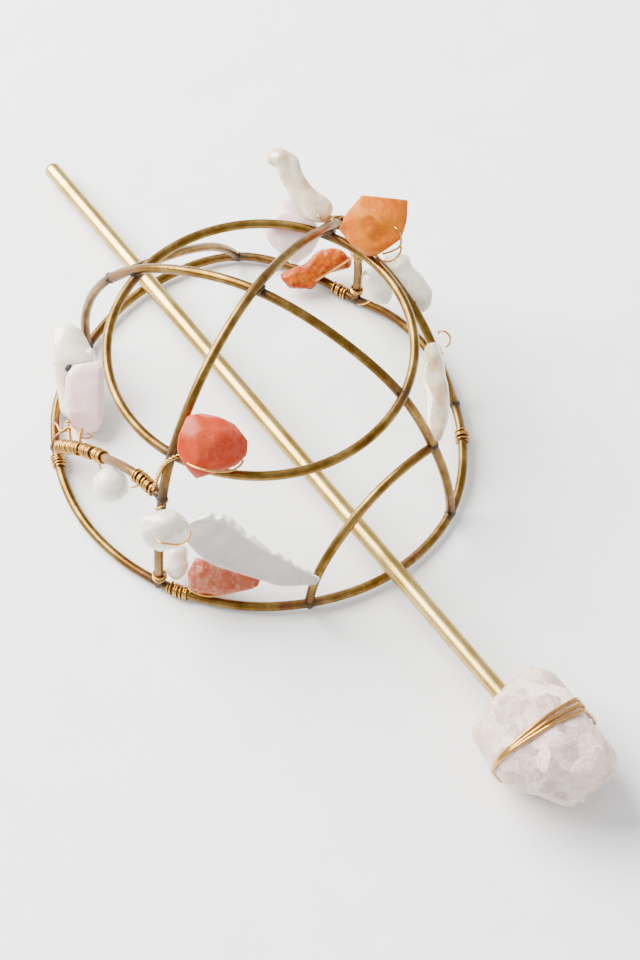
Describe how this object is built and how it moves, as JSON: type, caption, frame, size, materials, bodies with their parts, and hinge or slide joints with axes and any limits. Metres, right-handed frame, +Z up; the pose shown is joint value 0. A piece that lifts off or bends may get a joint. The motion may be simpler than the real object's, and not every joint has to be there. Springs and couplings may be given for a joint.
{
  "type": "bun cage hair accessory with its stick",
  "caption": "Openwork brass wire dome with bound stones and pearls, worn over a hair bun and held by a long stick with a raw quartz end that slides through it",
  "frame": {"origin": "on the surface it lies on, under the middle of the rim, where the bun sits; millimetre model, metres here", "axes": "+X along the stick towards its quartz end, +Y across the stick, +Z up out of the dome"},
  "size_m": [0.1696, 0.0762, 0.0478],
  "materials": {
    "frame_brass": "antiqued, with heat stains and solder at the joints",
    "rod_brass": "satin",
    "gold_wire": "bright drawn wire",
    "rose_quartz": "raw, waxy and slightly translucent",
    "rose_stone": "tumbled, translucent",
    "pearl": "glossy nacre",
    "moonstone": "milky, polished",
    "peach_stone": "raw chip, waxy",
    "carnelian": "raw chip, glossy",
    "coral_stone": "tumbled, polished"
  },
  "bodies": {
    "cage": {"cage_frame": "frame_brass", "stick_pearl": "pearl", "rose_stone_back": "rose_stone", "carnelian_chip": "carnelian", "peach_stone": "peach_stone", "moonstone_outer": "moonstone", "moonstone_inner": "moonstone", "long_pearl": "pearl", "left_pearl": "pearl", "rose_stone_left": "rose_stone", "moonstone_bead": "moonstone", "coral_stone": "coral_stone", "front_moonstone": "moonstone", "front_pearl": "pearl", "wing_pearl": "pearl", "low_coral_stone": "coral_stone", "wrap_arch_back": "gold_wire", "wrap_leg_back_foot": "gold_wire", "wrap_leg_back_top": "gold_wire", "wrap_leg_front": "gold_wire", "wrap_rim_back": "gold_wire", "wrap_rim_front": "gold_wire", "wrap_rim_left": "gold_wire", "wrap_rim_right": "gold_wire", "wrap_spur_left_foot": "gold_wire", "wrap_spur_left_top": "gold_wire", "wrap_spur_right": "gold_wire"},
    "stick": {"stick_rod": "rod_brass", "rose_quartz": "rose_quartz", "quartz_wrap_inner": "gold_wire", "quartz_wrap_middle": "gold_wire", "quartz_wrap_outer": "gold_wire"}
  },
  "joints": [
    {"name": "stick_slide", "type": "slide", "parent": "cage", "child": "stick", "axis": [0.999, 0, 0.0445], "range_m": [-0.02, 0.165]}
  ]
}
